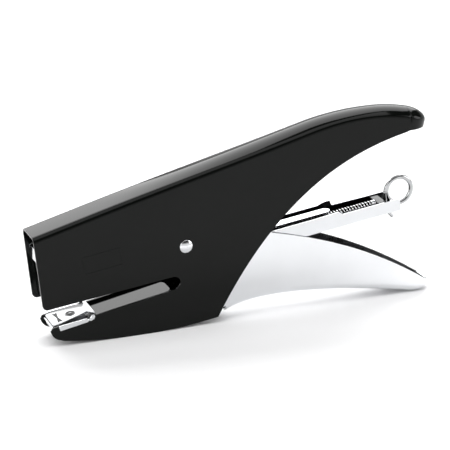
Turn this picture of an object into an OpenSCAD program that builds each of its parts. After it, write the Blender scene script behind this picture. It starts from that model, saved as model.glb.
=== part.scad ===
// Plier stapler: a folded sheet body, a sprung squeeze lever and a tilting staple magazine.
// +X runs to the rear, +Z is up, the plane Y = 0 halves the width, and Z = 0 is the table.

/* [Body shell] */
// Outside width of the body
body_w = 18.8; // [17.4:0.2:20]
// Thickness of the body sheet
body_t = 1.0; // [0.8:0.1:1.1]
// Outside radius of the fold at the front of the top
fold_r = 3.6; // [2:0.2:4]
// Slope of the straight stretch of the top, in degrees
crest_slope = 15.2; // [15:0.1:15.4]
// Length of the straight stretch of the top
crest_len = 146.9; // [146:0.1:148]
// Radius of the crown of the upper handle
crown_r = 145; // [142:1:148]
// Radius of the top behind the crown, down to the nose
brow_r = 85; // [82:1:88]
// Radius of the nose at the rear tip
tip_r = 6; // [5.5:0.5:6.5]
// Slope of the head's lower edge, in degrees
head_slope = 7.5; // [7:0.5:8]
// Slope of the jaw's upper edge, in degrees
jaw_slope = 10.8; // [10:0.2:11.4]
// Radius of the closed end of the throat
throat_r = 3.4; // [3.2:0.1:3.6]

/* [Pivot] */
// Radius of the main rivet's shank
rivet_r = 2.5; // [2.3:0.1:2.8]
// Radius of the main rivet's domed heads
rivet_head_r = 3.4; // [3:0.1:4]
// Radial running clearance on pins and rods
run_gap = 0.06; // [0.03:0.01:0.09]

/* [Lever] */
// Outside width of the lever
lever_w = 16.4; // [16:0.1:16.5]
// Thickness of the lever sheet
lever_t = 0.9; // [0.8:0.05:0.95]

/* [Magazine] */
// Outside width of the magazine channel
mag_w = 14.2; // [14:0.1:14.4]
// Thickness of the magazine sheet
mag_t = 0.6; // [0.5:0.05:0.65]
// Slope of the magazine at rest, in degrees
mag_slope = 8; // [7.8:0.1:8.2]
// Length of the magazine channel
mag_len = 187; // [180:1:190]
// Height of the walls over the staple track
wall_front_h = 8.2; // [8:0.1:8.6]
// Height of the walls over the spring
wall_rear_h = 6.8; // [6.4:0.1:7.2]
// Length of the staple strip
strip_len = 26; // [6:1:27]

/* [Feed] */
// Radius of the guide rod
rod_r = 1.0; // [0.8:0.1:1.1]
// Outside radius of the feed spring
spring_r = 2.1; // [1.9:0.1:2.2]
// Radius of the pull ring, to the middle of its wire
ring_r = 6.9; // [6.5:0.1:7.2]
// Radius of the pull ring's wire
ring_wire_r = 1.25; // [1:0.05:1.3]

/* [Hidden] */
$fn = 48;
far = 300;
black = [0.09, 0.09, 0.09];
chrome = [0.86, 0.87, 0.88];
steel = [0.62, 0.64, 0.66];
spring_steel = [0.5, 0.51, 0.53];

// Body outline, in the X-Z plane
crest_x = -106.8;
crest_z = 57.05;
head_bottom = [-103.2, 20];
head_lean = 6;
head_corner_r = 2.5;
throat_end = [-32.7, 25.3];
throat_stop = throat_end - 3.4 * [cos(jaw_slope), sin(jaw_slope)];
jaw_nose = [-93.4, 9.3];
jaw_nose_r = 5.85;
jaw_belly_x = -54.7;
jaw_belly_r = 245;
jaw_flat = 8;
jaw_heel = [-14.5, 3.1];
heel_curve = [[-12.9, 3.4], [18.1, 62], [53.7, 80.6], [89.3, 88.2]];
crown_end = 0;
brow_end = -18;
lip_drop = 2.5;
tip_end = -85;

// Places where the top changes from line to crown, from crown to brow and from brow to nose
crest_end = [crest_x + crest_len * cos(crest_slope), crest_z + crest_len * sin(crest_slope)];
crown_c = crest_end + crown_r * [sin(crest_slope), -cos(crest_slope)];
crown_stop = crown_c + crown_r * [-sin(crown_end), cos(crown_end)];
brow_c = crown_stop + brow_r * [sin(crown_end), -cos(crown_end)];
brow_stop = brow_c + brow_r * [-sin(brow_end), cos(brow_end)];
tip_c = brow_stop + tip_r * [sin(brow_end), -cos(brow_end)];

// The top as tangents from front to rear: a point, a slope and the fold radius there
fold_steps = 5;
crown_steps = 4;
brow_steps = 3;
tip_steps = 5;
crown_fold = 5;
tip_fold = 8.5;
top_tangents = concat([[crest_end, crest_slope, fold_r]],
    [for (i = [1:crown_steps]) let (f = (i - 0.5) / crown_steps, a = crest_slope + (crown_end - crest_slope) * f)
        [crown_c + crown_r * [-sin(a), cos(a)], a, fold_r + (crown_fold - fold_r) * f]],
    [for (i = [1:brow_steps]) let (f = (i - 0.5) / brow_steps, a = crown_end + (brow_end - crown_end) * f)
        [brow_c + brow_r * [-sin(a), cos(a)], a, crown_fold + (tip_fold - crown_fold) * f]],
    [for (i = [1:tip_steps]) let (f = (i - 0.4) / tip_steps, a = brow_end + (tip_end - brow_end) * f)
        [tip_c + tip_r * [-sin(a), cos(a)], a, tip_fold]]);

// The jaw's edge: its local x runs along the upper edge of the jaw, its local z stands on it
jaw_root = throat_end + throat_r * [sin(jaw_slope), -cos(jaw_slope)];
jaw_len = 68.3;
jaw_o = jaw_root - jaw_len * [cos(jaw_slope), sin(jaw_slope)];
notch_from = 4.6;
notch_to = 22.4;
notch_depth = 1.2;
bed_drop = 1.1;
bed_t = 1.0;
plate_top = 1.15;
plate_t = 1.45;
base_t = 0.8;
anvil_rivet_s = 12.7;
dimple_s = 6.3;

// Pivot and pins
pivot = [-29.6, 43];
inner_half = body_w / 2 - body_t;
lever_half = lever_w / 2;
lever_in = lever_half - lever_t;
mag_half = mag_w / 2;
mag_in = mag_half - mag_t;
bore_r = rivet_r + run_gap;

// The magazine's local x runs along its floor to the rear, its local z stands on the floor
mag_o = [-98.1, 19.94];
pivot_rel = pivot - mag_o;
pivot_u = pivot_rel[0] * cos(mag_slope) + pivot_rel[1] * sin(mag_slope);
pivot_v = pivot_rel[1] * cos(mag_slope) - pivot_rel[0] * sin(mag_slope);
blade_gap = 0.8;
core_half = 5.65;
core_top = 6.2;
core_t = 0.6;
core_len = 152;
step_u = 153;
crown_top = 6.8;
rod_v = 3.4;
seat_u = 176.2;
seat_len = 4;
pusher_len = 12;
ring_c = [190.2, 7.76];
pin_r = 1.0;
pin_u = 2.2;
pin_v = 25;
pin_play = 0.9;
pin_at = mag_o + [pin_u * cos(mag_slope) - pin_v * sin(mag_slope),
                  pin_u * sin(mag_slope) + pin_v * cos(mag_slope)];
spring_pin_at = [-59.5, 49.5];
spring_pin_r = 1.2;
coil_r = 3.9;
coil_wire_r = 0.6;

// Points of an arc about c, from angle a to angle b
function arc(c, r, a, b, n) = [for (i = [0:n]) c + r * [cos(a + (b - a) * i / n), sin(a + (b - a) * i / n)]];
// Points of a cubic curve with four control points
function curve(p, n) = [for (i = [0:n]) let (t = i / n, s = 1 - t)
    s * s * s * p[0] + 3 * s * s * t * p[1] + 3 * s * t * t * p[2] + t * t * t * p[3]];
// A place given along and above the jaw's upper edge
function on_jaw(s, h) = jaw_o + [s * cos(jaw_slope) - h * sin(jaw_slope), s * sin(jaw_slope) + h * cos(jaw_slope)];
// The jaw's belly: a long arc with a flat to stand on
function belly(x) = let (d = x - jaw_belly_x)
    max(0, (d * d - jaw_flat * jaw_flat) / (2 * jaw_belly_r));

// Extrudes an X-Z outline symmetrically to the given half width
module slab(half) {
    rotate([90, 0, 0]) linear_extrude(height = 2 * half, center = true) children();
}

// Places its children on the jaw's upper edge
module jaw_frame() {
    translate([jaw_o[0], 0, jaw_o[1]]) rotate([0, -jaw_slope, 0]) children();
}

// Places its children on the magazine's floor
module mag_frame() {
    translate([mag_o[0], 0, mag_o[1]]) rotate([0, -mag_slope, 0]) children();
}

// A round bar across the width, centred on Y = 0
module cross_bar(x, z, r, half) {
    translate([x, half, z]) rotate([90, 0, 0]) cylinder(r = r, h = 2 * half);
}

// A round bar along local x
module long_bar(u, v, r, length) {
    translate([u, 0, v]) rotate([0, 90, 0]) cylinder(r = r, h = length);
}

// The side outline of head, jaw and handle in one sheet, with the throat cut in from the front
module body_outline() {
    lean = [tan(head_lean), 1];
    bottom_x = jaw_heel[0] - jaw_nose[0];
    polygon(concat(
        [head_bottom + 95 * [-lean[0], lean[1]]],
        arc(head_bottom + head_corner_r * [1 + 0.1, 1], head_corner_r, 180, 270 + head_slope, 6),
        arc(throat_stop, throat_r, 90 + head_slope, -90 + jaw_slope, 16),
        [on_jaw(notch_to + 0.6, 0), on_jaw(notch_to, -notch_depth), on_jaw(notch_from, -notch_depth),
            on_jaw(notch_from - 0.2, 0.8)],
        arc(on_jaw(1.9, -0.9), 1.7, 90 + jaw_slope, 180, 5),
        arc(jaw_nose, jaw_nose_r, 184, 260, 10),
        [for (i = [0:12]) let (x = jaw_nose[0] + 0.5 + (bottom_x - 0.5) * i / 12) [x, belly(x)]],
        curve(heel_curve, 20),
        [[tip_c[0], tip_c[1] - lip_drop], [120, tip_c[1] - lip_drop], [120, 115]]));
}

// A section of the body: flat roof with its crest at y = 0, round folds, straight sides
module top_section(half, r) {
    polygon(concat([[half, -far]], arc([half - r, -r], r, 0, 90, fold_steps),
        arc([r - half, -r], r, 90, 180, fold_steps), [[-half, -far]]));
}

// Everything under the top: the space that lies under each of its tangents at once
module under_top(inset) {
    intersection_for(i = [0:len(top_tangents) - 1]) let (t = top_tangents[i])
        translate([t[0][0], 0, t[0][1]]) rotate([0, -t[1], 0]) translate([-far, 0, -inset])
            rotate([90, 0, 90]) linear_extrude(height = 2 * far)
                top_section(body_w / 2 - inset + i * 0.01, t[2] - inset);
}

// A plan outline with a round rear end
module plan(half, end_x) {
    translate([-far, -half]) square([far + end_x, 2 * half]);
    translate([end_x, 0]) circle(r = half);
}

module body_shell() {
    color(black) difference() {
        intersection() {
            slab(body_w) body_outline();
            under_top(0);
        }
        under_top(body_t);
        cross_bar(pivot[0], pivot[1], rivet_r + 0.02, body_w);
    }
}

// A folded channel inside the jaw with a rounded rear end
module jaw_bed() {
    half = inner_half - 0.1;
    from = 3.2;
    length = 62.5;
    skirt = 4;
    color(black) jaw_frame() difference() {
        translate([from, -half, -bed_drop - skirt]) cube([length, 2 * half, skirt]);
        translate([from - 1, -half + bed_t, -bed_drop - skirt - 1])
            cube([length + 2, 2 * (half - bed_t), skirt + 1 - bed_t]);
        translate([anvil_rivet_s, 0, -bed_drop - 2]) cylinder(r = 1.52, h = 4);
        for (side = [-1, 1])
            translate([from + length - 5, side * (half - 1.4), -bed_drop - skirt - 1])
                rotate([0, 0, side * 30]) translate([0, -6 + side * 6, 0]) cube([14, 12, skirt + 2]);
    }
}

// A sheet on the bed whose wings pass over the jaw's edges and end in low flanges outside them
module anvil_base() {
    wing = body_w / 2 + 0.85;
    top = plate_top - plate_t;
    bottom = top - base_t;
    flange = 2.1;
    color(chrome) jaw_frame() difference() {
        union() {
            translate([0.7, -7.9, bottom]) cube([21.4, 15.8, base_t]);
            translate([notch_from + 0.4, -wing, bottom]) cube([notch_to - notch_from - 1, 2 * wing, base_t]);
            for (side = [-1, 1])
                translate([notch_from + 0.4, side * (wing - 0.4) - 0.4, bottom - 0.5])
                    cube([notch_to - notch_from - 1, 0.8, flange]);
        }
        translate([anvil_rivet_s, 0, bottom - 1]) cylinder(r = 1.52, h = 3);
    }
}

// The plate that turns the staple's legs, with a bow-tie dimple
module anvil_plate() {
    color(chrome) jaw_frame() difference() {
        translate([0, 0, plate_top - plate_t]) linear_extrude(height = plate_t)
            polygon([[1.0, -6.6], [1.9, -7.5], [23.2, -8.15], [23.2, 8.15], [1.9, 7.5], [1.0, 6.6]]);
        translate([anvil_rivet_s, 0, -2]) cylinder(r = 1.52, h = 4);
        for (side = [-1, 1])
            translate([dimple_s, 0, plate_top - 0.45]) linear_extrude(height = 1)
                polygon([[-0.5, side * 0.8], [0.5, side * 0.8], [1.1, side * 5.6], [-1.1, side * 5.6]]);
    }
}

module anvil_rivet() {
    head_h = 0.6;
    color(chrome) jaw_frame() translate([anvil_rivet_s, 0, 0]) {
        translate([0, 0, -bed_drop - bed_t]) cylinder(r = 1.5, h = bed_drop + bed_t + plate_top);
        translate([0, 0, plate_top]) cylinder(r = 2.4, h = head_h);
        translate([0, 0, -bed_drop - bed_t - head_h]) cylinder(r = 2.4, h = head_h);
    }
}

// Shank through both sides of the body with a domed head at each end
module main_rivet() {
    dome = 1.1;
    ball_r = (rivet_head_r * rivet_head_r + dome * dome) / (2 * dome);
    color(chrome) {
        cross_bar(pivot[0], pivot[1], rivet_r, body_w / 2);
        for (side = [-1, 1])
            translate([pivot[0], side * body_w / 2, pivot[1]]) rotate([-90 * side, 0, 0])
                intersection() {
                    translate([0, 0, dome - ball_r]) sphere(r = ball_r);
                    cylinder(r = rivet_head_r, h = dome + 1);
                }
    }
}

module pivot_spacer() {
    color(steel) difference() {
        cross_bar(pivot[0], pivot[1], rivet_r + 0.6, mag_in - 0.1);
        cross_bar(pivot[0], pivot[1], rivet_r + 0.02, mag_w);
    }
}

// A torsion spring round the pivot: one leg under the lever's pin, one under the roof
module return_spring() {
    turns = 6;
    pitch = 1.6;
    half = turns * pitch / 2;
    front_len = 32;
    rear_len = 40;
    rear_rise = 54;
    leg_r = coil_wire_r - 0.03;
    color(spring_steel) {
        for (i = [0:turns])
            translate([pivot[0], -half + i * pitch, pivot[1]]) rotate([90, 0, 0])
                rotate_extrude() translate([coil_r, 0]) circle(r = coil_wire_r, $fn = 24);
        translate([pivot[0] - front_len, -half, pivot[1] + coil_r]) rotate([0, 90, 0])
            cylinder(r = leg_r, h = front_len, $fn = 24);
        translate([pivot[0], half, pivot[1]]) rotate([0, 90 - rear_rise, 0])
            translate([-coil_r, 0, 0]) cylinder(r = leg_r, h = rear_len, $fn = 24);
    }
}

// The lever's side outline: nose and arms ahead of the pivot, squeeze handle behind it
module lever_outline() {
    polygon(concat(
        [[-103.5, 42.2], [-103.7, 48.4], [-98.5, 50.4], [-92.5, 56.8], [-59.5, 65.8], [-39.5, 57], [-19.5, 49]],
        curve([[15.8, 43.7], [45.7, 36.7], [71.3, 26.5], [98.9, 8.7]], 14),
        arc([102.1, 3.9], 3.9, 3, -85, 8),
        [[98, 0], [94, 0]],
        curve([[94, 0], [61.2, 7.4], [9.1, 14.4], [-9.2, 3.9]], 14),
        [[-13.3, 4.6], [-18.5, 11], [-24.7, 21], [-27.1, 31], [-32.5, 36], [-43.5, 39.5]]));
}

// The space between the lever's walls, with the floor left on behind the body
module lever_hollow() {
    polygon(concat(
        [[-121.5, -9], [-9.7, -9], [-8.9, 4.9]],
        curve([[-8.9, 4.9], [9.1, 15.4], [61.2, 8.4], [94, 0.95]], 14),
        [[101, 0.95], [103.6, 2], [105.1, 4], [105.1, 90], [-121.5, 90]]));
}

module lever_handle() {
    end_x = 98;
    end_r = lever_half;
    color(chrome) difference() {
        intersection() {
            slab(lever_half) lever_outline();
            translate([0, 0, -1]) linear_extrude(height = 80) plan(end_r + 0.01, end_x);
        }
        intersection() {
            slab(lever_in) lever_hollow();
            translate([0, 0, -10]) linear_extrude(height = 110) plan(lever_in + 0.01, end_x);
        }
        cross_bar(pivot[0], pivot[1], bore_r, body_w);
        cross_bar(pin_at[0], pin_at[1], pin_r + 0.02, body_w);
        cross_bar(spring_pin_at[0], spring_pin_at[1], spring_pin_r + 0.02, body_w);
    }
}

// A saddle that ties the two arms together over the driver
module nose_bridge() {
    color(chrome) difference() {
        slab(lever_in) polygon([[-103.6, 42.4], [-102.9, 42.4], [-103, 47.6], [-94.5, 50.2], [-94.7, 51],
            [-103.7, 48.4]]);
        cross_bar(pin_at[0], pin_at[1], pin_r + 0.3, mag_in);
    }
}

module driver_pin() {
    color(steel) cross_bar(pin_at[0], pin_at[1], pin_r, lever_half);
}

module spring_pin() {
    color(steel) cross_bar(spring_pin_at[0], spring_pin_at[1], spring_pin_r, lever_half);
}

// A thin blade in the front gap, with two slotted ears that the pin carries
module driver_blade() {
    half = mag_in - 0.15;
    blade_t = blade_gap - 0.2;
    low = 8.0;
    top = pin_v + 1.6;
    slot_r = pin_r + run_gap;
    color(steel) mag_frame() difference() {
        union() {
            translate([-blade_gap + 0.1, -half, low]) cube([blade_t, 2 * half, top - low]);
            for (side = [-1, 1])
                translate([-blade_gap + 0.1, side * (half - 0.3) - 0.3, pin_v - 2.6])
                    cube([pin_u + 3.2, 0.6, 4.2]);
        }
        for (du = [0, -pin_play])
            cross_bar(pin_u + du, pin_v, slot_r, mag_half);
        translate([pin_u - pin_play, -mag_half, pin_v - slot_r]) cube([pin_play, mag_w, 2 * slot_r]);
    }
}

// Side outline of the channel: staple track, step, spring section and the ears on the pivot
module channel_outline() {
    polygon([[0, 0], [mag_len, 0], [mag_len, wall_rear_h - 1.4], [mag_len - 1.6, wall_rear_h],
        [step_u + 2.4, wall_rear_h], [step_u, wall_front_h + 0.9], [step_u - 9, wall_front_h + 0.4],
        [step_u - 30, wall_front_h], [pivot_u + 9, wall_front_h], [pivot_u + 4.6, pivot_v - 2],
        [pivot_u - 4.6, pivot_v - 2], [pivot_u - 9, wall_front_h], [0, wall_front_h]]);
    translate([pivot_u, pivot_v]) circle(r = 5);
}

module magazine_channel() {
    latch_len = 8;
    color(chrome) mag_frame() difference() {
        slab(mag_half) channel_outline();
        translate([-1, -mag_in, mag_t]) cube([mag_len + 2, 2 * mag_in, 30]);
        translate([mag_len - latch_len, -1.6, -1]) cube([latch_len + 1, 3.2, 3]);
        cross_bar(pivot_u, pivot_v, bore_r, mag_w);
    }
}

// The track the staples straddle: a slotted strip with a round rear end
module magazine_core() {
    slot_half = 2.5;
    tunnel_half = 2.3;
    color(chrome) mag_frame() difference() {
        intersection() {
            translate([0.2, -core_half, mag_t]) cube([core_len, 2 * core_half, core_top - mag_t]);
            translate([0, 0, mag_t - 1]) linear_extrude(height = core_top) plan(core_half + 0.01, core_len - core_half);
        }
        translate([-1, -core_half + core_t, 0])
            cube([core_len - core_half, 2 * (core_half - core_t), core_top - core_t]);
        translate([3, -slot_half, 0]) cube([core_len - core_half - 3, 2 * slot_half, 10]);
        translate([core_len - core_half, 0, 0]) cylinder(r = slot_half, h = 10);
        translate([core_len - core_half - 2, -tunnel_half, 0])
            cube([core_half + 3, 2 * tunnel_half, core_top - core_t]);
    }
}

// A strip across the walls that keeps the staples down
module magazine_cover() {
    color(chrome) mag_frame() translate([0.4, -mag_in + 0.02, 7.5]) cube([58, 2 * mag_in - 0.04, 0.6]);
}

// A plate across the front that holds the driver against the track
module front_guide() {
    height = 11;
    plate = 0.6;
    color(chrome) mag_frame() difference() {
        translate([-blade_gap - plate, -mag_half, 0]) cube([blade_gap + plate, mag_w, height]);
        translate([-blade_gap, -mag_in + 0.05, -1]) cube([blade_gap + 1, 2 * mag_in - 0.1, height + 2]);
    }
}

// An unspent strip: staples side by side, legs down over the track
module staple_strip() {
    color(steel) mag_frame() difference() {
        translate([0.1, -6.4, mag_t + 0.05]) cube([strip_len, 12.8, crown_top - mag_t - 0.05]);
        translate([-1, -core_half - 0.05, 0]) cube([strip_len + 2, 2 * core_half + 0.1, core_top + 0.05]);
    }
}

// A bent leaf on the cover that holds the magazine down from the lever's pin
module magazine_spring() {
    color(spring_steel) mag_frame() slab(2.5)
        polygon([[8, 8.15], [19, 8.15], [44, 21.6], [43.6, 22.2], [18.8, 8.75], [8, 8.75]]);
}

module guide_rod() {
    color(steel) mag_frame() long_bar(22, rod_v, rod_r, ring_c[0] - ring_r - 22);
}

module rod_stop() {
    color(steel) mag_frame() difference() {
        long_bar(22.6, rod_v, 1.8, 1.6);
        long_bar(22, rod_v, rod_r + 0.02, 4);
    }
}

// The block the feed spring bears on; it leaves the channel with the rod
module spring_seat() {
    color(steel) mag_frame() difference() {
        translate([seat_u, -mag_in + 0.2, mag_t + 0.2]) cube([seat_len, 2 * mag_in - 0.4, 5]);
        long_bar(seat_u - 1, rod_v, rod_r + 0.02, seat_len + 2);
    }
}

// A wire ring with a tail that hooks under the channel
module ring_handle() {
    tail_top = [ring_c[0] - ring_r, ring_c[1]];
    bend = [181.8, -0.8];
    hook = [184.9, -5.2];
    tail = tail_top - bend;
    last = hook - bend;
    color(chrome) mag_frame() {
        translate([ring_c[0], 0, ring_c[1]]) rotate([90, 0, 0])
            rotate_extrude() translate([ring_r, 0]) circle(r = ring_wire_r, $fn = 32);
        translate([bend[0], 0, bend[1]]) {
            sphere(r = ring_wire_r);
            rotate([0, atan2(tail[0], tail[1]), 0]) cylinder(r = ring_wire_r, h = norm(tail));
            rotate([0, atan2(last[0], last[1]), 0]) cylinder(r = ring_wire_r, h = norm(last));
        }
    }
}

// The space of a long coil spring round the rod
module feed_spring() {
    from = strip_len + 0.4 + pusher_len;
    color(spring_steel) mag_frame() difference() {
        long_bar(from, rod_v, spring_r, seat_u - from);
        long_bar(from - 1, rod_v, rod_r + 0.25, seat_u - from + 2);
    }
}

// The follower behind the staples: a saddle on the track with a lug on the rod
module pusher() {
    from = strip_len + 0.3;
    half = 6.35;
    color(steel) mag_frame() difference() {
        union() {
            difference() {
                translate([from, -half, 1.2]) cube([pusher_len, 2 * half, 6.0]);
                translate([from - 1, -core_half - 0.1, 0])
                    cube([pusher_len + 2, 2 * core_half + 0.2, core_top + 0.15]);
            }
            translate([from + 2, -1.9, 1.2]) cube([pusher_len - 2, 3.8, 5.5]);
        }
        long_bar(from - 1, rod_v, rod_r + run_gap, pusher_len + 2);
    }
}

body_shell();
jaw_bed();
anvil_base();
anvil_plate();
anvil_rivet();
main_rivet();
pivot_spacer();
return_spring();
lever_handle();
nose_bridge();
driver_pin();
spring_pin();
driver_blade();
magazine_channel();
magazine_core();
magazine_cover();
front_guide();
staple_strip();
magazine_spring();
guide_rod();
rod_stop();
spring_seat();
ring_handle();
feed_spring();
pusher();
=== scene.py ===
import math
import bmesh
import bpy
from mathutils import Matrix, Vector, geometry


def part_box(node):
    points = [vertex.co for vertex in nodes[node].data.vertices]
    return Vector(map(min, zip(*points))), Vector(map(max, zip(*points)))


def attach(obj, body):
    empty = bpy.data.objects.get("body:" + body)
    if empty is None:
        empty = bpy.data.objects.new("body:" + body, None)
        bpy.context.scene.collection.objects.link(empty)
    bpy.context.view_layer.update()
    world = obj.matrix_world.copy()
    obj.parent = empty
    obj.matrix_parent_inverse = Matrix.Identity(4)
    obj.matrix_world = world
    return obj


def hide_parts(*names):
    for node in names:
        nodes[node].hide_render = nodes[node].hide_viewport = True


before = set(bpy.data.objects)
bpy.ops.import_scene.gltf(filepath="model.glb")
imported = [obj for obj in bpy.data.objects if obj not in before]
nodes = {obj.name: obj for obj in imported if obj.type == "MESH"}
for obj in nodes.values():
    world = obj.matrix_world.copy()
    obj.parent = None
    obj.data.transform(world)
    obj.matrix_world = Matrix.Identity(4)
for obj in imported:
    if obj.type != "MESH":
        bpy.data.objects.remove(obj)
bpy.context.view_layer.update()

MM = 0.001


# ---------------------------------------------------------------- drawing helpers, in millimetres
def polar(c, r, a):
    return (c[0] + r * math.cos(math.radians(a)), c[1] + r * math.sin(math.radians(a)))


def arc(c, r, a, b, n):
    return [polar(c, r, a + (b - a) * i / n) for i in range(n + 1)]


def curve(p, n):
    out = []
    for i in range(n + 1):
        t = i / n
        s = 1 - t
        k = (s * s * s, 3 * s * s * t, 3 * s * t * t, t * t * t)
        out.append((sum(k[j] * p[j][0] for j in range(4)), sum(k[j] * p[j][1] for j in range(4))))
    return out


def smooth(x, a, b):
    t = min(1.0, max(0.0, (x - a) / (b - a)))
    return t * t * (3 - 2 * t)


def resample(points, n):
    """n + 1 points at even spacing along a polyline of tuples."""
    total = [0.0]
    for p, q in zip(points, points[1:]):
        total.append(total[-1] + math.dist(p, q))
    out, k = [], 0
    for i in range(n + 1):
        want = total[-1] * i / n
        while k < len(points) - 2 and total[k + 1] < want:
            k += 1
        span = total[k + 1] - total[k]
        f = 0 if span == 0 else (want - total[k]) / span
        out.append(tuple(a + (b - a) * f for a, b in zip(points[k], points[k + 1])))
    return out


def clean(loop):
    out = []
    for p in loop:
        if not out or math.dist(p, out[-1]) > 0.004:
            out.append(p)
    if math.dist(out[0], out[-1]) < 0.004:
        out.pop()
    return out


def fill(loop, holes=(), extra=()):
    """Triangles over a plane outline, less its holes."""
    points, edges = [], []
    for ring in [loop, *holes]:
        ring = clean(ring)
        start = len(points)
        points += [Vector(p) for p in ring]
        edges += [(start + i, start + (i + 1) % len(ring)) for i in range(len(ring))]
    points += [Vector(p) for p in extra]
    mesh = geometry.delaunay_2d_cdt(points, edges, [], 2 if holes else 1, 1e-5)
    return [tuple(p) for p in mesh[0]], [tuple(t) for t in mesh[2]]


def inside(loop, x, y, margin=0.0):
    """Whether a point is in an outline, at least the margin away from its edge."""
    hit = False
    for (x1, y1), (x2, y2) in zip(loop, list(loop[1:]) + [loop[0]]):
        if (y1 > y) != (y2 > y) and x < x1 + (x2 - x1) * (y - y1) / (y2 - y1):
            hit = not hit
    return hit and all(math.dist(p, (x, y)) > margin for p in loop)


# ---------------------------------------------------------------- materials
def material(name, base, metallic, rough, spread, **extra):
    """A node material with cloudy roughness, a fine surface and slight colour variation."""
    m = bpy.data.materials.new(name)
    m.use_nodes = True
    t = m.node_tree
    b = t.nodes["Principled BSDF"]
    b.inputs["Metallic"].default_value = metallic
    for key, value in extra.get("sockets", {}).items():
        b.inputs[key].default_value = value
    where = t.nodes.new("ShaderNodeTexCoord")
    stretch = t.nodes.new("ShaderNodeMapping")
    stretch.inputs["Scale"].default_value = extra.get("stretch", (1, 1, 1))
    t.links.new(where.outputs["Object"], stretch.inputs["Vector"])

    def noise(scale, detail, vector=stretch):
        n = t.nodes.new("ShaderNodeTexNoise")
        n.inputs["Scale"].default_value = scale
        n.inputs["Detail"].default_value = detail
        t.links.new(vector.outputs[0] if vector is stretch else where.outputs["Object"], n.inputs["Vector"])
        return n

    cloud = noise(extra.get("cloud", 90), 5, where)
    spots = noise(extra.get("grain", 1500), 3)
    span = t.nodes.new("ShaderNodeMapRange")
    span.inputs["From Min"].default_value = 0.3
    span.inputs["From Max"].default_value = 0.7
    span.inputs["To Min"].default_value = rough - spread
    span.inputs["To Max"].default_value = rough + spread
    mix = t.nodes.new("ShaderNodeMix")
    mix.data_type = "FLOAT"
    mix.inputs[0].default_value = extra.get("blend", 0.5)
    t.links.new(cloud.outputs["Fac"], mix.inputs[2])
    t.links.new(spots.outputs["Fac"], mix.inputs[3])
    t.links.new(mix.outputs[0], span.inputs["Value"])
    t.links.new(span.outputs["Result"], b.inputs["Roughness"])
    tint = t.nodes.new("ShaderNodeValToRGB")
    low, high = tint.color_ramp.elements
    shade = extra.get("shade", 0.9)
    low.position, high.position = 0.35, 0.65
    low.color = (*(c * shade for c in base), 1)
    high.color = (*base, 1)
    t.links.new(cloud.outputs["Fac"], tint.inputs["Fac"])
    t.links.new(tint.outputs["Color"], b.inputs["Base Color"])
    bump = t.nodes.new("ShaderNodeBump")
    bump.inputs["Strength"].default_value = extra.get("bump", 0.1)
    bump.inputs["Distance"].default_value = extra.get("depth", 0.00002)
    fine = noise(extra.get("fine", 700), 2)
    t.links.new(fine.outputs["Fac"], bump.inputs["Height"])
    t.links.new(bump.outputs["Normal"], b.inputs["Normal"])
    return m


MAT = {
    "black_enamel": material("black_enamel_gloss", (0.003, 0.0036, 0.0031), 0.0, 0.085, 0.02, shade=0.8,
                             cloud=60, grain=2500, fine=420, bump=0.05, depth=0.00002,
                             sockets={"Specular IOR Level": 0.165}),
    "chrome": material("nickel_chrome", (0.75, 0.76, 0.775), 1.0, 0.10, 0.03, shade=0.97,
                       cloud=70, grain=1800, fine=300, bump=0.05, depth=0.00002),
    "plain_steel": material("zinc_plated_steel", (0.50, 0.50, 0.49), 1.0, 0.30, 0.08, shade=0.8,
                            cloud=260, grain=2500, fine=1600, bump=0.2, depth=0.00003),
    "staple_wire": material("galvanised_wire", (0.62, 0.63, 0.64), 1.0, 0.26, 0.07, shade=0.85,
                            cloud=300, grain=2600, fine=1800, bump=0.15, depth=0.00002, stretch=(1, 0.15, 1)),
    "spring_steel": material("drawn_spring_wire", (0.44, 0.44, 0.44), 1.0, 0.24, 0.06, shade=0.75,
                             cloud=350, grain=2600, fine=1500, bump=0.15, depth=0.00002),
    # near-black metal for the magazine channel's inner faces, its core, guide rod and spring seat: painted
    # shade inside the channel
    "painted_shade_dark": material("painted_shade_sheet_inside", (0.035, 0.036, 0.037), 1.0, 0.2, 0.06, shade=0.6,
                            cloud=120, grain=2200, fine=900, bump=0.12, depth=0.00002),
    "track_chrome": material("track_nickel", (0.665, 0.675, 0.69), 1.0, 0.11, 0.03, shade=0.96,
                             cloud=90, grain=1800, fine=300, bump=0.06, depth=0.00002),
    # darker plating for the lever channel's inner faces, the rod stop and the pusher: painted shade
    "lever_painted_shade": material("painted_shade_plating_inside", (0.2, 0.205, 0.21), 1.0, 0.28, 0.07, shade=0.6,
                             cloud=90, grain=2200, fine=900, bump=0.12, depth=0.00002),
    "anvil_nickel": material("anvil_nickel", (0.36, 0.365, 0.37), 1.0, 0.2, 0.06, shade=0.88,
                             cloud=300, grain=2400, fine=900, bump=0.12, depth=0.00002),
    "ring_wire": material("ring_wire_nickel", (0.47, 0.475, 0.48), 1.0, 0.14, 0.04, shade=0.85,
                          cloud=260, grain=2400, fine=900, bump=0.1, depth=0.00002),
    # near-black for the anvil's bow-tie, its hatched pockets and the rivet's groove: painted shade in these
    # hollows
    "dimple": material("anvil_groove_painted_shade", (0.028, 0.028, 0.027), 0.3, 0.45, 0.1, shade=0.5,
                       cloud=700, grain=3000, fine=2200, bump=0.3, depth=0.00004),
}


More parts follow.
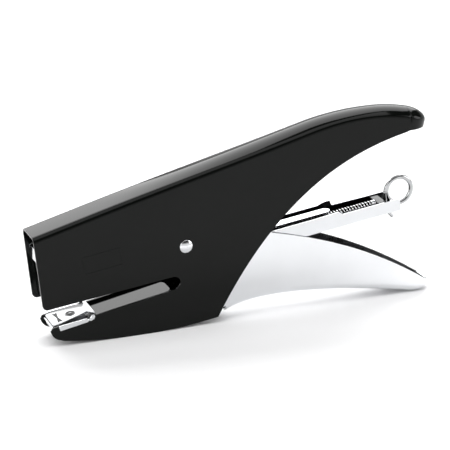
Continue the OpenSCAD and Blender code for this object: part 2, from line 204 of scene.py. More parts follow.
# ---------------------------------------------------------------- building helpers
def polish(o, bevel=0.15, segments=2, thickness=None, angle=35, inside=None):
    """Sheet thickness where asked, then rolled edges and clean shading."""
    # the inner faces of the sheet take a second, darker material: painted shade inside the fold
    if inside:
        o.data.materials.append(MAT[inside])
    if thickness:
        s = o.modifiers.new("sheet", "SOLIDIFY")
        s.thickness = thickness * MM
        s.offset = -1
        s.use_even_offset = True
        s.use_quality_normals = True
        s.material_offset = 1 if inside else 0
    if bevel:
        b = o.modifiers.new("edge", "BEVEL")
        b.width = bevel * MM
        b.segments = segments
        b.limit_method = "ANGLE"
        b.angle_limit = math.radians(angle)
        b.miter_outer = "MITER_ARC"
        b.use_clamp_overlap = True
        b.harden_normals = False
    w = o.modifiers.new("shading", "WEIGHTED_NORMAL")
    w.weight = 90
    w.keep_sharp = False
    return o


def piece(name, patches, body, slot, outward=None, replaces=(), merge=0.004, smooth_faces=True, mat=None):
    """One mesh piece from patches of (vertices, faces) in millimetres, joined where they meet."""
    bm = bmesh.new()
    for verts, faces in patches:
        made = [bm.verts.new(Vector(v) * MM) for v in verts]
        for f in faces:
            if len({made[i] for i in f}) == len(f):
                try:
                    bm.faces.new([made[i] for i in f])
                except ValueError:
                    pass
    bmesh.ops.remove_doubles(bm, verts=bm.verts, dist=merge * MM)
    bmesh.ops.dissolve_degenerate(bm, edges=bm.edges, dist=merge * MM * 0.5)
    loose = [v for v in bm.verts if not v.link_faces]
    bmesh.ops.delete(bm, geom=loose, context="VERTS")
    bmesh.ops.recalc_face_normals(bm, faces=bm.faces)
    if outward is not None:
        at, direction = Vector(outward[0]) * MM, Vector(outward[1])
        facing = [f for f in bm.faces if abs(f.normal.dot(direction)) > 0.7] or list(bm.faces)
        near = min(facing, key=lambda f: abs((f.calc_center_median() - at).dot(direction)) * 20
                   + (f.calc_center_median() - at).length)
        if near.normal.dot(direction) < 0:
            bmesh.ops.reverse_faces(bm, faces=bm.faces)
    me = bpy.data.meshes.new(name)
    bm.to_mesh(me)
    bm.free()
    for p in me.polygons:
        p.use_smooth = smooth_faces
    o = bpy.data.objects.new(name, me)
    bpy.context.scene.collection.objects.link(o)
    me.materials.append(mat or MAT[slot])
    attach(o, body)
    if replaces:
        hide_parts(*replaces)
    return o


def grid(rows):
    n = len(rows[0])
    verts = [p for r in rows for p in r]
    faces = [(i * n + j, i * n + j + 1, (i + 1) * n + j + 1, (i + 1) * n + j)
             for i in range(len(rows) - 1) for j in range(n - 1)]
    return verts, faces


def prism(outline, low, high, holes=(), lift=lambda x, z, y: (x, y, z)):
    """A closed solid from an outline, between two values of the third coordinate."""
    flat, tris = fill(outline, holes)
    verts = [lift(p[0], p[1], low) for p in flat] + [lift(p[0], p[1], high) for p in flat]
    n = len(flat)
    faces = [tuple(t) for t in tris] + [tuple(i + n for i in reversed(t)) for t in tris]
    count = {}
    for t in tris:
        for a, b in ((t[0], t[1]), (t[1], t[2]), (t[2], t[0])):
            count[frozenset((a, b))] = count.get(frozenset((a, b)), 0) + 1
    for e, c in count.items():
        if c == 1:
            a, b = tuple(e)
            faces.append((a, b, b + n, a + n))
    return verts, faces


def sweep(path, r, sides=12, closed=False, caps=True):
    """A round wire along points, with its ends rounded off."""
    pts = [Vector(p) for p in path]
    n = len(pts)
    tang = []
    for i in range(n):
        a = pts[i - 1] if closed or i else pts[0]
        b = pts[(i + 1) % n] if closed or i < n - 1 else pts[-1]
        tang.append((b - a).normalized())
    ref = Vector((0, 1, 0)) if abs(tang[0].y) < 0.9 else Vector((0, 0, 1))
    u = (ref - tang[0] * ref.dot(tang[0])).normalized()
    rings = []

    def ring(c, t, u, r):
        w = t.cross(u)
        return [tuple(c + (u * math.cos(2 * math.pi * k / sides) + w * math.sin(2 * math.pi * k / sides)) * r)
                for k in range(sides)]
    for i in range(n):
        u = (u - tang[i] * u.dot(tang[i])).normalized()
        rings.append(ring(pts[i], tang[i], u, r))
        if i == 0:
            first_u = u
    if caps and not closed:
        for k in (0.35, 0.7, 0.93):
            rings.insert(0, ring(pts[0] - tang[0] * r * 0.5 * k, tang[0], first_u, r * math.sqrt(1 - k * k)))
            rings.append(ring(pts[-1] + tang[-1] * r * 0.5 * k, tang[-1], u, r * math.sqrt(1 - k * k)))
    verts = [p for q in rings for p in q]
    m = len(rings)
    faces = []
    for i in range(m if closed else m - 1):
        for k in range(sides):
            a, b = i * sides + k, i * sides + (k + 1) % sides
            c, d = ((i + 1) % m) * sides + (k + 1) % sides, ((i + 1) % m) * sides + k
            faces.append((a, b, c, d))
    if not closed:
        faces.append(tuple(reversed(range(sides))))
        faces.append(tuple((m - 1) * sides + k for k in range(sides)))
    return verts, faces


def keep(name, slot, bevel=0.12, segments=2, mat=None):
    """A CAD node that stays, with rolled edges and a real finish."""
    o = nodes[name]
    o.data.materials.clear()
    o.data.materials.append(mat or MAT[slot])
    w = o.modifiers.new("join", "WELD")
    w.merge_threshold = 0.002 * MM
    return polish(o, bevel, segments)


def middle(name):
    lo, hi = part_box(name)
    c = (lo + hi) / 2
    return (c.x / MM, c.y / MM, c.z / MM)


# ---------------------------------------------------------------- places taken from the frame
lever_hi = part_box("lever_handle")[1]
half_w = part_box("body_shell")[1].y / MM
lever_w = lever_hi.y / MM
pivot = (middle("main_rivet")[0], middle("main_rivet")[2])
shift_x = pivot[0] + 28.1
shift_z = pivot[1] - 43.0


def at(x, z):
    return (x + shift_x, z + shift_z)


# ---------------------------------------------------------------- body shell
slope_deg = 15.2
slope = math.radians(slope_deg)
crest_run = 146.7
crown_r, brow_r = 145.0, 85.0
tip_deep, tip_reach, lip_depth = 5.4, 11.0, 10.2
brow_end = -13
lean = math.radians(6)
crest_0 = at(-105.1, 57.1)
crest_1 = (crest_0[0] + crest_run * math.cos(slope), crest_0[1] + crest_run * math.sin(slope))
peak = (crest_1[0] + crown_r * math.sin(slope), crest_1[1] + crown_r * (1 - math.cos(slope)))


def on_top(a):
    """The top's profile behind its straight stretch, by its slope in degrees."""
    r = crown_r if a > 0 else brow_r
    a = math.radians(a)
    return (peak[0] - r * math.sin(a), peak[1] - r * (1 - math.cos(a)))


brow_stop = on_top(brow_end)
tip_dir = math.radians(brow_end)
tip_t = (math.cos(tip_dir), math.sin(tip_dir))
tip_n = (-math.sin(tip_dir), math.cos(tip_dir))
lip_z = brow_stop[1] - lip_depth


def width_at(x):
    """Half width of the body: the handle is a little slimmer than the head."""
    return half_w - 0.7 * smooth(x, 0, 80)


def fold_at(x):
    """Angle at the edge of the crowned roof, and the radius of the fold outside it."""
    return math.radians(1 + 25 * smooth(x, -75, 45) + 16 * smooth(x, 50, 100)), 3.0 - 0.5 * smooth(x, -20, 60)


def section(w, edge, r, n=30):
    """Half a section as (distance from the middle, depth), from the crest to the foot of the fold."""
    reach = w - r * (1 - math.sin(edge))
    big = reach / math.sin(edge)
    pts = [(big * math.sin(edge * k / 14), big * (1 - math.cos(edge * k / 14))) for k in range(15)]
    deep = pts[-1][1] + r * math.cos(edge)
    for k in range(1, 15):
        q = edge + (math.pi / 2 - edge) * k / 14
        pts.append((w - r * (1 - math.sin(q)), deep - r * math.cos(q)))
    return resample(pts, n)


rows, foot = [], []
front_dir = (math.sin(lean), -math.cos(lean))
front_scale = 1 / (math.sin(slope) * front_dir[0] - math.cos(slope) * front_dir[1])
stations = []
for k in range(35):
    run = crest_run * k / 34
    stations.append((crest_0[0] + run * math.cos(slope), crest_0[1] + run * math.sin(slope), slope_deg))
for k in range(1, 40):
    turn = slope_deg + (brow_end - slope_deg) * k / 40
    stations.append((*on_top(turn), turn))
for i, (x, z, a) in enumerate(stations):
    edge, r = fold_at(x)
    a = math.radians(a)
    half = []
    for y, d in section(width_at(x), edge, r):
        if i == 0:
            p = (x + front_dir[0] * d * front_scale, z + front_dir[1] * d * front_scale)
        else:
            p = (x + math.sin(a) * d, z - math.cos(a) * d)
        half.append((p[0], y, p[1]))
    foot.append((half[-1][0], half[-1][2]))
    rows.append([(p[0], -p[1], p[2]) for p in reversed(half[1:])] + half)


def dome(theta):
    """A rib of the round tip, from the crest down to the lip."""
    c, s = math.cos(math.radians(theta)), math.sin(math.radians(theta))
    w = width_at(brow_stop[0])
    edge, r = fold_at(brow_stop[0])
    side = section(w, edge, r, 60)
    deep = side[-1][1]
    side += [(w, deep + k * 0.5) for k in range(1, 22)]
    pts = []
    for y, d in side:
        f = y / w
        end_drop = tip_deep * (1 - math.sqrt(max(0.0, 1 - f * f))) if d <= deep else tip_deep + d - deep
        drop = d * s * s + end_drop * c * c
        pts.append((brow_stop[0] + tip_t[0] * tip_reach * f * c - tip_n[0] * drop, w * f * s,
                    brow_stop[1] + tip_t[1] * tip_reach * f * c - tip_n[1] * drop))
    for k in range(len(pts) - 1):
        if pts[k + 1][2] < lip_z:
            f = (pts[k][2] - lip_z) / (pts[k][2] - pts[k + 1][2])
            end = tuple(a + (b - a) * f for a, b in zip(pts[k], pts[k + 1]))
            return resample(pts[:k + 1] + [end], 30)
    return resample(pts, 30)


left, right = dome(-90), dome(90)
rows.append(list(reversed(left[1:])) + right)
foot.append((right[-1][0], right[-1][2]))
ribs = [dome(-90 + 180 * k / 32) for k in range(33)]

jaw_slope = math.radians(10.8)
throat_end = at(-31.2, 25.3)
throat_r, throat_back = 3.4, 3.4
throat_stop = (throat_end[0] - throat_back * math.cos(jaw_slope),
               throat_end[1] - throat_back * math.sin(jaw_slope))
jaw_len = 68.3
jaw_root = (throat_end[0] + throat_r * math.sin(jaw_slope), throat_end[1] - throat_r * math.cos(jaw_slope))
jaw_o = (jaw_root[0] - jaw_len * math.cos(jaw_slope), jaw_root[1] - jaw_len * math.sin(jaw_slope))


def on_jaw(s, h):
    return (jaw_o[0] + s * math.cos(jaw_slope) - h * math.sin(jaw_slope),
            jaw_o[1] + s * math.sin(jaw_slope) + h * math.cos(jaw_slope))


def belly(x):
    """Height of the jaw's underside, flat in its middle."""
    d = x + 53.2
    return max(0.0, (d * d - 64) / 490)


head_foot = at(-101.7, 20)
corner_r = 2.5
corner_c = (head_foot[0] + corner_r * 1.1, head_foot[1] + corner_r)
jaw_nose = (-91.9, 9.3)
outline = [foot[0]]
outline += arc(corner_c, corner_r, 184, 277.5, 10)
outline += arc(throat_stop, throat_r, 97.5, -79.2, 28)
outline += [on_jaw(23.0, 0.35), on_jaw(22.4, -1.2), on_jaw(4.6, -1.2), on_jaw(4.4, 0.8)]
outline += arc(on_jaw(1.9, -0.9), 1.7, 100.8, 180, 8)
outline += [at(*p) for p in arc(jaw_nose, 5.85, 184, 260, 16)]
outline += [at(x, belly(x)) for x in (-91.4 + 78.4 * i / 40 for i in range(41))]
heel = [(-11.4, 3.4), (19.8, 61.8), (55.2, 79.9), (90.3, lip_z - shift_z - 0.5)]
outline += [at(*p) for p in curve(heel, 56)]
outline += list(reversed(foot[1:]))
inner = [(x, z) for x in range(4, 92, 8) for z in (30, 45, 60, 75, 84, 92) if inside(outline, x, z, 1.2)]
flat, tris = fill(outline, extra=inner)
side_near = ([(p[0], -width_at(p[0]), p[1]) for p in flat], tris)
side_far = ([(p[0], width_at(p[0]), p[1]) for p in flat], tris)
shell = piece("body_shell_sheet", [grid(rows), grid(ribs), side_near, side_far], "frame", "black_enamel",
              outward=((0, -half_w, 40), (0, -1, 0)), replaces=["body_shell"])
polish(shell, 0.28, 3, thickness=1.0)

# plain stamped rectangle on the side of the head
stamp = []
for x, z in ((-9.6, -4.4), (9.6, -4.4), (9.6, 4.4), (-9.6, 4.4)):
    sx, sz = (1 if x > 0 else -1), (1 if z > 0 else -1)
    turn = {(-1, -1): 180, (1, -1): 270, (1, 1): 0, (-1, 1): 90}[(sx, sz)]
    stamp += arc((x - sx * 0.8, z - sz * 0.8), 0.8, turn, turn + 90, 5)
tilt = math.radians(8.5)
stamp = [(pivot[0] - 42.8 + x * math.cos(tilt) - z * math.sin(tilt), -half_w + 0.02,
          pivot[1] - 1.5 + x * math.sin(tilt) + z * math.cos(tilt)) for x, z in stamp]
polish(piece("side_stamp", [sweep(stamp, 0.17, 8, closed=True)], "frame", "black_enamel"), 0.0)

# ---------------------------------------------------------------- lever
lever_end = lever_hi.x / MM - lever_w + 0.2
lever_top = curve([(17.3, 43.7), (47.2, 36.7), (72.8, 26.5), (100.4, 8.7)], 60)
lever_low = curve([(95.5, 0), (62.7, 7.4), (10.6, 14.4), (-7.7, 3.9)], 48)


def rim_z(x):
    """Height of the lever's upper edge at x."""
    pts = lever_top + [(107.0, 4.6), (108.0, 4.0)]
    for p, q in zip(pts, pts[1:]):
        if p[0] <= x <= q[0]:
            return p[1] + (q[1] - p[1]) * (x - p[0]) / (q[0] - p[0])
    return pts[-1][1]


fold_l, floor_up = 4.6, 3.9
low_line = list(reversed(lever_low)) + [(lever_end - shift_x, 0.0)]
lrows, lfoot = [], []


def lever_half():
    """Half a section of the lever's floor and its fold: (distance from the middle, height)."""
    flat_end = lever_w - fold_l
    pts = [(0.0, 0.0), (flat_end, 0.0)]
    for deg in range(5, 91, 5):
        a = math.radians(deg)
        pts.append((flat_end + fold_l * math.sin(a), floor_up - floor_up * math.cos(a)))
    return resample(pts, 16)


for x, z in low_line[1:]:
    half = [at(x, z) + (y, d) for y, d in lever_half()]
    half = [(p[0], p[2], p[1] + p[3]) for p in half]
    lfoot.append((half[-1][0], half[-1][2]))
    lrows.append([(p[0], -p[1], p[2]) for p in reversed(half[1:])] + half)


def spoon(theta):
    """A rib of the lever's rounded rear end, from the middle of its floor up to the rim."""
    c, s = math.cos(math.radians(theta)), math.sin(math.radians(theta))
    reach = lever_w * s * s + (lever_w - 0.3) * c * c
    pts = []
    for y, d in lever_half():
        f = y / lever_w
        pts.append((lever_end + reach * f * c, lever_w * f * s, shift_z + d))
    x = pts[-1][0] - shift_x
    top = max(rim_z(x), floor_up + 0.15)
    for k in range(1, 7):
        pts.append((pts[-1][0], pts[-1][1], shift_z + floor_up + (top - floor_up) * k / 6))
    return pts


lribs = [spoon(-90 + 180 * k / 28) for k in range(29)]
arm_top = [(-102.0, 42.2), (-102.2, 48.4), (-97, 50.4), (-91, 56.8), (-58, 65.8), (-38, 57), (-18, 49)]
arm_foot = [(-11.8, 6.0), (-17, 11), (-23.2, 21), (-25.6, 31), (-31, 36), (-42, 39.5)]
side = [at(*p) for p in arm_top]
side += [at(*p) for p in lever_top if p[0] < lever_end - shift_x - 0.3]
side += [(p[0], p[2]) for p in reversed(lribs[-1][16:])]
side += list(reversed(lfoot[:-1]))
side += [at(*p) for p in arm_foot]
flat, tris = fill(side)
lever = piece("lever_sheet", [grid(lrows), grid(lribs), ([(p[0], -lever_w, p[1]) for p in flat], tris),
                              ([(p[0], lever_w, p[1]) for p in flat], tris)], "lever", "chrome",
              outward=((40, -lever_w, 20), (0, -1, 0)), replaces=["lever_handle"])
# the lever channel's inner faces are painted darker as shade
polish(lever, 0.3, 3, thickness=0.9, inside="lever_painted_shade")

# ---------------------------------------------------------------- magazine frame of reference
mag_slope = math.radians(8)
mag_o = at(-96.6, 19.94)
mag_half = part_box("magazine_channel")[1].y / MM


def on_mag(u, v, y=0.0):
    return (mag_o[0] + u * math.cos(mag_slope) - v * math.sin(mag_slope), y,
            mag_o[1] + u * math.sin(mag_slope) + v * math.cos(mag_slope))


# ---------------------------------------------------------------- springs
def helix(start, end, r, pitch, y=0.0, steps=14, closing=2):
    """Points of a coil along the magazine, with closed turns at both ends."""
    pts, u, a = [], start[0], 0.0
    while u < end:
        pts.append(on_mag(u, start[1] + r * math.sin(a), y + r * math.cos(a)))
        near_end = min(u - start[0], end - u)
        step = pitch if near_end > closing else 0.75
        u += step / steps
        a += 2 * math.pi / steps
    return pts


coil = helix((38.6, 4.0), 176.1, 1.95, 1.6)
piece("feed_spring_coil", [sweep(coil, 0.36, 7)], "feed_rod", "spring_steel", replaces=["feed_spring"],
      mat=MAT["chrome"])

# the strong spring round the pivot
turn_r, turn_w, turns = 3.9, 4.8, 6
rear_tilt = math.radians(54)


def on_turn(a, y):
    """A point of the spring's coil at an angle in degrees."""
    return (pivot[0] + turn_r * math.cos(math.radians(a)), y, pivot[1] + turn_r * math.sin(math.radians(a)))


pts = [(pivot[0] - 32 + 2 * i, -turn_w, pivot[1] + turn_r) for i in range(16)]
pts += [on_turn(90 + 18 * k, -turn_w + 2 * turn_w * k / (20 * turns)) for k in range(20 * turns + 1)]
pts += [on_turn(a, turn_w) for a in (102, 114, 126, 144)]
leg = pts[-1]
for i in range(1, 20):
    pts.append((leg[0] + math.cos(rear_tilt) * i * 2, turn_w, leg[2] + math.sin(rear_tilt) * i * 2))
piece("return_spring_coil", [sweep(pts, 0.6, 10)], "frame", "spring_steel", replaces=["return_spring"])

# ---------------------------------------------------------------- pull ring
ring_c = on_mag(189.9, 8.1)
ring_r, wire_r = 6.9, 1.25
circle = []
for k in range(64):
    a = 2 * math.pi * k / 64
    circle.append((ring_c[0] + ring_r * math.cos(a), 0.0, ring_c[2] + ring_r * math.sin(a)))
tail = [on_mag(184.9, -5.2), on_mag(183.3, -2.9), on_mag(182.1, -1.3), on_mag(181.8, 0.4), on_mag(182.0, 2.4)]
for k in range(9):
    a, r = math.radians(186 - 7 * k), ring_r + 1.1 - 0.1 * k
    tail.append((ring_c[0] + r * math.cos(a), -0.5 - 0.02 * k, ring_c[2] + r * math.sin(a)))


def rounded(points, n=4):
    """A smooth line through points."""
    out = []
    pts = [Vector(p) for p in points]
    for i in range(len(pts) - 1):
        p0, p1, p2, p3 = pts[max(i - 1, 0)], pts[i], pts[i + 1], pts[min(i + 2, len(pts) - 1)]
        for k in range(n):
            t = k / n
            out.append(tuple(0.5 * ((2 * p1) + (p2 - p0) * t + (2 * p0 - 5 * p1 + 4 * p2 - p3) * t * t
                                    + (3 * p1 - p0 - 3 * p2 + p3) * t ** 3)))
    out.append(tuple(pts[-1]))
    return out


piece("pull_ring_wire", [sweep(circle, wire_r, 16, closed=True), sweep(rounded(tail), 0.95, 14)], "feed_rod",
      "chrome", replaces=["ring_handle"], mat=MAT["ring_wire"])

# ---------------------------------------------------------------- staples
wire = 0.52
count = int(26 / wire)
parts = []
for k in range(count):
    u = 0.12 + wire * k
    loop = [(-6.4, 0.7), (-6.4, 6.5), (-6.1, 6.8), (6.1, 6.8), (6.4, 6.5), (6.4, 0.7),
            (5.85, 0.7), (5.85, 6.25), (-5.85, 6.25), (-5.85, 0.7)]
    parts.append(prism(loop, u + 0.02, u + wire - 0.02, lift=lambda y, v, u: on_mag(u, v, y)))
strip = piece("staple_row", parts, "magazine", "staple_wire", replaces=["staple_strip"], merge=0.0005)
polish(strip, 0.05, 1)

# ---------------------------------------------------------------- leaf spring over the cover
leaf = [(8, 8.15), (18.6, 8.15), (19.6, 8.5), (43.6, 21.3), (44.4, 21.2), (44.7, 21.6), (43.8, 22.1)]
leaf += [(18.9, 8.75), (8, 8.75)]
polish(piece("magazine_leaf", [prism(leaf, -2.5, 2.5, lift=on_mag)], "magazine", "spring_steel",
             replaces=["magazine_spring"]), 0.12)


# ---------------------------------------------------------------- anvil
def jaw_point(s, h, y):
    p = on_jaw(s, h)
    return (p[0], y, p[1])


def jaw_plan(s, y, h):
    """The same point, for an outline drawn in plan."""
    return jaw_point(s, h, y)


top_h = 1.15
near_line = [(2.0, 6.2), (2.2, 7.0), (2.9, 7.5), (4.2, 7.8), (17.2, 4.6), (20.4, 3.4), (22.6, 7.6),
             (23.5, 7.9)]
plate = [(s, -y) for s, y in near_line] + [(23.6, -7.5), (23.6, 7.5)] + list(reversed(near_line))
tie = [(-1.25, -5.5), (0.05, -4.9), (1.25, -5.6), (0.8, -2.8), (0.45, 0), (0.8, 2.8), (1.25, 5.6),
       (0.05, 4.9), (-1.25, 5.5), (-0.8, 2.8), (-0.45, 0), (-0.8, -2.8)]
tie_s = 6.3
tie_loop = clean([(tie_s + a, y) for a, y in tie])
plate_loop = clean(plate)


def cut_plate(level, low):
    """The plate's top and edge, open under the bow-tie."""
    points = [Vector(p) for p in plate_loop + tie_loop]
    n, t = len(plate_loop), len(tie_loop)
    edges = [(i, (i + 1) % n) for i in range(n)] + [(n + i, n + (i + 1) % t) for i in range(t)]
    mesh = geometry.delaunay_2d_cdt(points, edges, [], 1, 1e-5)
    v = [tuple(p) for p in mesh[0]]
    kept = []
    for f in mesh[2]:
        if not inside(tie_loop, sum(v[i][0] for i in f) / 3, sum(v[i][1] for i in f) / 3):
            kept.append(f)
    rim = [jaw_point(s, h, y) for h in (level, low) for s, y in plate_loop]
    rim_f = [(i, (i + 1) % n, (i + 1) % n + n, i + n) for i in range(n)]
    return [([jaw_point(p[0], level, p[1]) for p in v], kept), (rim, rim_f)]


up_from_jaw = (0, 0, 1)
anvil = piece("anvil_top_plate", cut_plate(top_h, -0.2), "frame", "chrome", replaces=["anvil_plate"],
              outward=(jaw_point(17, top_h, 0), up_from_jaw), merge=0.002, mat=MAT["anvil_nickel"])
polish(anvil, 0.14, 2)


def tie_ring(shrink_s, shrink_y):
    return [(tie_s + (s - tie_s) * shrink_s, y * shrink_y) for s, y in tie_loop]


tie_low = top_h - 0.2
tie_rows = []
for level, shrink_s, shrink_y in ((top_h, 1.0, 1.0), (top_h - 0.15, 0.96, 0.99), (tie_low, 0.85, 0.97)):
    ring = tie_ring(shrink_s, shrink_y)
    tie_rows.append([jaw_plan(s, y, level) for s, y in ring + ring[:1]])
flat, tris = fill(tie_ring(0.85, 0.97))
tie_floor = ([jaw_plan(p[0], p[1], tie_low) for p in flat], tris)
# the bow-tie hollow's near-black is painted shade
polish(piece("anvil_bow_tie", [grid(tie_rows), tie_floor], "frame", "chrome",
             outward=(jaw_point(tie_s, tie_low, 0), up_from_jaw), merge=0.002, mat=MAT["dimple"]), 0.0)

# the hollow beside the plate on each side, with a hatched pocket at its rear whose near-black is painted shade
# the far one lies level with the plate
for side, tag in ((-1, "near"), (1, "far")):
    near = side < 0
    start, tuck, sag = (top_h - 0.15, 0.0, -0.15) if near else (top_h + 0.03, 0.7, 0.0)
    upper = [jaw_point(s, start, side * (y - tuck))
             for s, y in [(4.1, 7.7), (10.6, 6.2), (17.2, 4.6), (20.4, 3.4), (22.6, 7.6)]]
    lower = [jaw_point(s, -0.35 if near else 1.0 - 0.03 * s, side * y)
             for s, y in [(3.9, 8.6), (10.6, 9.0), (17.2, 9.0), (20.4, 8.8), (23.2, 8.7)]]
    mid = [((p[0] + q[0]) / 2, (p[1] + q[1]) / 2, (p[2] + q[2]) / 2 + sag) for p, q in zip(upper, lower)]
    hollow = piece("anvil_hollow_" + tag, [grid([upper, mid, lower])], "frame", "chrome",
                   outward=(jaw_point(17, 0.4, side * 7), up_from_jaw), mat=MAT["anvil_nickel"])
    polish(hollow, 0.0, thickness=0.12)
    notch = [(17.6, 4.6), (20.4, 3.45), (22.7, 7.7), (21.2, 8.3), (18.9, 7.0)]
    notch = [(s, side * y) for s, y in notch]
    # the pocket is painted near-black as shade
    polish(piece("anvil_notch_" + tag, [prism(notch, 0.42, 0.62, lift=jaw_plan)], "frame", "chrome",
                 mat=MAT["dimple"]), 0.05, 1)
    for k in range(4):
        s0 = 18.9 + 0.95 * k
        tooth = [jaw_point(s0, 0.75, side * 4.6), jaw_point(s0 + 0.8, 0.35, side * 6.2),
                 jaw_point(s0 + 1.2, 0.15, side * 7.8)]
        polish(piece(f"anvil_tooth_{tag}_{k}", [sweep(tooth, 0.2, 8)], "frame", "chrome",
                     mat=MAT["plain_steel"]), 0.0)

# folded bed inside the jaw, its end rounded off
bed_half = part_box("jaw_bed")[1].y / MM
bed = [(3.2, -bed_half), (3.2, bed_half)]
bed += arc((58.2, bed_half - 5.5), 5.5, 90, 0, 10) + arc((58.2, 5.5 - bed_half), 5.5, 0, -90, 10)
skirt = [(3.2, -2.0), (3.2, -4.6)] + arc((54.5, -2.6), 2.5, -90, -20, 6) + [(57.4, -2.0)]
bed_parts = [prism(bed, -2.1, -1.1, lift=jaw_plan)]
bed_parts += [prism(skirt, (bed_half - 1.0) * k, bed_half * k, lift=jaw_point) for k in (-1, 1)]
polish(piece("jaw_bed_channel", bed_parts, "frame", "black_enamel", replaces=["jaw_bed"],
             merge=0.0005), 0.25, 3)

# base sheet, its front lip and the low flanges outside the jaw
front_lip = [(1.2, -1.1), (1.2, -0.1), (1.4, 0.15), (1.65, 0.15), (1.65, -1.1)]
base = [prism([(1.8, -7.6), (22.1, -7.9), (22.1, 7.9), (1.8, 7.6)], -1.1, -0.3, lift=jaw_plan),
        prism([(5.0, -10.0), (22.0, -10.0), (22.0, 10.0), (5.0, 10.0)], -1.1, -0.35, lift=jaw_plan),
        prism(front_lip, -6.9, 6.9, lift=jaw_point)]
strip_side = [(4.2, -1.35), (4.0, 0.85), (4.5, 1.05), (18.4, 0.45), (18.9, -0.1), (18.7, -1.35)]
tab_side = [(19.6, -1.0), (19.4, -0.2), (21.2, 1.15), (22.3, 1.25), (22.5, 0.3), (22.0, -0.6), (20.2, -1.35)]
for side in (-1, 1):
    for shape in (strip_side, tab_side):
        base.append(prism(shape, 9.48 * side, 10.4 * side, lift=jaw_point))
polish(piece("anvil_base_sheet", base, "frame", "chrome", replaces=["anvil_base"], merge=0.0005), 0.16, 2)

# rivet with a dished head: rim and button in nickel, the groove between them painted dark as shade
rivet_s = 12.9


def turned(profile, n=44):
    """A surface of revolution about the rivet's axis."""
    turn = [2 * math.pi * k / n for k in range(n + 1)]
    return grid([[jaw_point(rivet_s + r * math.cos(a), h, r * math.sin(a)) for a in turn] for r, h in profile])


button = [(0, 1.6), (0.5, 1.55), (0.8, 1.4), (0.9, 1.2)]
head_rim = [(2.25, 1.2), (2.35, 1.35), (2.5, 1.38), (2.62, 1.3), (2.7, top_h)]
shank = [(1.5, 0.8), (1.5, -2.1), (2.4, -2.1), (2.4, -2.5), (2.1, -2.7), (0, -2.7)]
polish(piece("anvil_rivet_head", [turned(button), turned(head_rim), turned(shank)], "frame", "chrome",
             replaces=["anvil_rivet"], outward=(jaw_point(rivet_s, 1.5, 0.2), up_from_jaw), merge=0.003,
             mat=MAT["anvil_nickel"]), 0.0)
# the groove's dark colour is painted shade
groove = [(0.85, 1.3), (0.95, 1.24), (1.5, 1.2), (2.1, 1.22), (2.3, 1.3)]
polish(piece("anvil_rivet_groove", [turned(groove)], "frame", "chrome",
             outward=(jaw_point(rivet_s, 1.0, 1.5), up_from_jaw), merge=0.003, mat=MAT["dimple"]), 0.0)

# ---------------------------------------------------------------- magazine channel
ear = (71.04, 13.3)
rear_u, wall_t = 187.0, 0.6
ear_arc = arc(ear, 5.0, -20, 200, 20)


def wall(front, shoulder):
    """A side of the channel, with its pivot ear, and a shoulder where its rear part is lower."""
    return ([(0, 0), (rear_u, 0), (rear_u, 5.2), (rear_u - 1.4, 6.3)] + shoulder
            + [(123, front + 0.15), (ear[0] + 10, front), (ear[0] + 5.2, front + 2.6)] + ear_arc
            + [(ear[0] - 5.2, front + 2.6), (ear[0] - 10, front), (0, front)])


near_wall = wall(7.5, [(155.6, 6.3), (153.4, 8.1), (150, 8.0), (140, 7.7)])
far_tab = [(154.9, 7.6), (154.6, 9.2), (153.9, 9.6), (152.0, 9.6), (149.6, 9.2), (147.4, 8.5)]
far_wall = wall(8.3, [(172, 6.4), (155.4, 6.8)] + far_tab)
patches = []
for side, loop in ((-1, near_wall), (1, far_wall)):
    v, f = fill(loop)
    patches.append(([on_mag(p[0], p[1], side * mag_half) for p in v], f))
slot_len, slot_half = 8, 1.6
v, f = fill([(0, -mag_half), (rear_u, -mag_half), (rear_u, -slot_half), (rear_u - slot_len, -slot_half),
             (rear_u - slot_len, slot_half), (rear_u, slot_half), (rear_u, mag_half), (0, mag_half)])
patches.append(([on_mag(p[0], 0.0, p[1]) for p in v], f))
channel = piece("magazine_channel_sheet", patches, "magazine", "chrome", replaces=["magazine_channel"],
                outward=(on_mag(120, 4, -mag_half), (0, -1, 0)), mat=MAT["track_chrome"])
# the channel's inner faces are painted near-black as shade
polish(channel, 0.3, 3, thickness=wall_t, inside="painted_shade_dark")

# ---------------------------------------------------------------- CAD nodes that stay
keep("main_rivet", "chrome", 0.15, 2)
keep("pivot_spacer", "plain_steel", 0.1)
keep("nose_bridge", "chrome", 0.2, 2)
keep("driver_pin", "plain_steel", 0.15)
keep("spring_pin", "plain_steel", 0.15)
keep("driver_blade", "plain_steel", 0.1)
# the core sits deep in the channel and is painted near-black as shade over its chrome
keep("magazine_core", "chrome", 0.15, 2, mat=MAT["painted_shade_dark"])
# the strip over the open rear of the magazine, which carries the cover on to a round end
rail_half, rail_front, rail_end = 2.7, 96, 148.4
rail = [(rail_front, -rail_half)] + arc((rail_end, 0), rail_half, -90, 90, 18) + [(rail_front, rail_half)]
polish(piece("magazine_rail", [prism(rail, 7.4, 7.95, lift=lambda u, y, v: on_mag(u, v, y))],
             "magazine", "chrome", merge=0.0005, mat=MAT["track_chrome"]), 0.15, 2)
keep("magazine_cover", "chrome", 0.12)
keep("front_guide", "chrome", 0.15)
# guide rod, rod stop, spring seat and pusher take the darker materials: painted shade over their steel
keep("guide_rod", "plain_steel", 0.15, mat=MAT["painted_shade_dark"])
keep("rod_stop", "plain_steel", 0.15, mat=MAT["lever_painted_shade"])
keep("spring_seat", "plain_steel", 0.2, mat=MAT["painted_shade_dark"])
keep("pusher", "plain_steel", 0.2, mat=MAT["lever_painted_shade"])

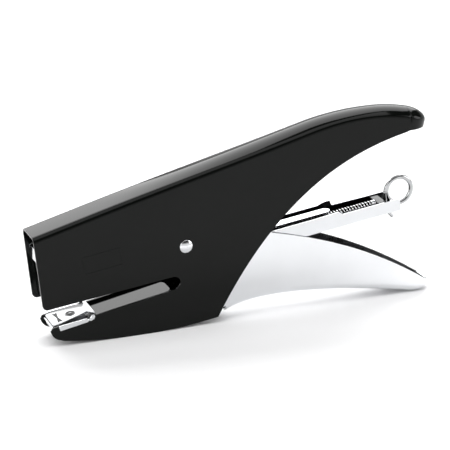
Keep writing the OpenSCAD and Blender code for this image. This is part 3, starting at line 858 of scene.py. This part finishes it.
# ---------------------------------------------------------------- floor, light and camera
bm = bmesh.new()
bmesh.ops.create_grid(bm, x_segments=1, y_segments=1, size=4.0)
me = bpy.data.meshes.new("floor")
bm.to_mesh(me)
bm.free()
floor = bpy.data.objects.new("floor", me)
bpy.context.scene.collection.objects.link(floor)
white = bpy.data.materials.new("pale_floor")
white.use_nodes = True
b = white.node_tree.nodes["Principled BSDF"]
b.inputs["Base Color"].default_value = (0.93, 0.93, 0.935, 1)
b.inputs["Roughness"].default_value = 0.9
b.inputs["Specular IOR Level"].default_value = 0.1
me.materials.append(white)

world = bpy.data.worlds.new("studio")
bpy.context.scene.world = world
world.use_nodes = True
wt = world.node_tree
bg = wt.nodes["Background"]
coord = wt.nodes.new("ShaderNodeTexCoord")
split = wt.nodes.new("ShaderNodeSeparateXYZ")
ramp = wt.nodes.new("ShaderNodeValToRGB")
wt.links.new(coord.outputs["Generated"], split.inputs[0])
wt.links.new(split.outputs["Z"], ramp.inputs["Fac"])
wt.links.new(ramp.outputs["Color"], bg.inputs["Color"])
stops = ramp.color_ramp.elements
stops[0].position, stops[0].color = 0.0, (1, 1, 1, 1)
stops[1].position, stops[1].color = 0.42, (0.03, 0.03, 0.03, 1)
stops.new(0.16).color = (0.85, 0.85, 0.85, 1)
bg.inputs["Strength"].default_value = 1.0


def softbox(name, place, size, radiance, aim=(0, 0, 0.04)):
    """A rectangular light whose face has the given brightness."""
    light = bpy.data.lights.new(name, "AREA")
    light.shape = "RECTANGLE"
    light.size, light.size_y = size
    light.energy = radiance * math.pi * size[0] * size[1]
    o = bpy.data.objects.new(name, light)
    bpy.context.scene.collection.objects.link(o)
    o.location = place
    o.rotation_euler = (Vector(aim) - Vector(place)).to_track_quat("-Z", "Y").to_euler()


softbox("back_softbox", (0.2, 1.15, 1.1), (2.4, 1.35), 3.8)
softbox("top_softbox", (0.0, -0.2, 1.4), (1.8, 1.2), 1.8)
softbox("left_softbox", (-2.0, -0.7, 1.1), (1.4, 1.6), 3.8)
softbox("right_softbox", (2.2, -0.9, 1.1), (1.4, 1.6), 3.8)

azimuth, elevation, distance = math.radians(-21.2), math.radians(20.3), 1.040
level = math.cos(elevation)
back = Vector((math.sin(azimuth) * level, -math.cos(azimuth) * level, math.sin(elevation)))
target = Vector((pivot[0] * MM + 0.02388, 0.0, pivot[1] * MM + 0.00479))
cam = bpy.data.cameras.new("camera")
cam.sensor_width = 36
cam.lens = 168.4
cam_o = bpy.data.objects.new("camera", cam)
bpy.context.scene.collection.objects.link(cam_o)
cam_o.location = target + back * distance
cam_o.rotation_euler = (-back).to_track_quat("-Z", "Y").to_euler()
bpy.context.scene.camera = cam_o
bpy.context.scene.view_settings.view_transform = "Standard"
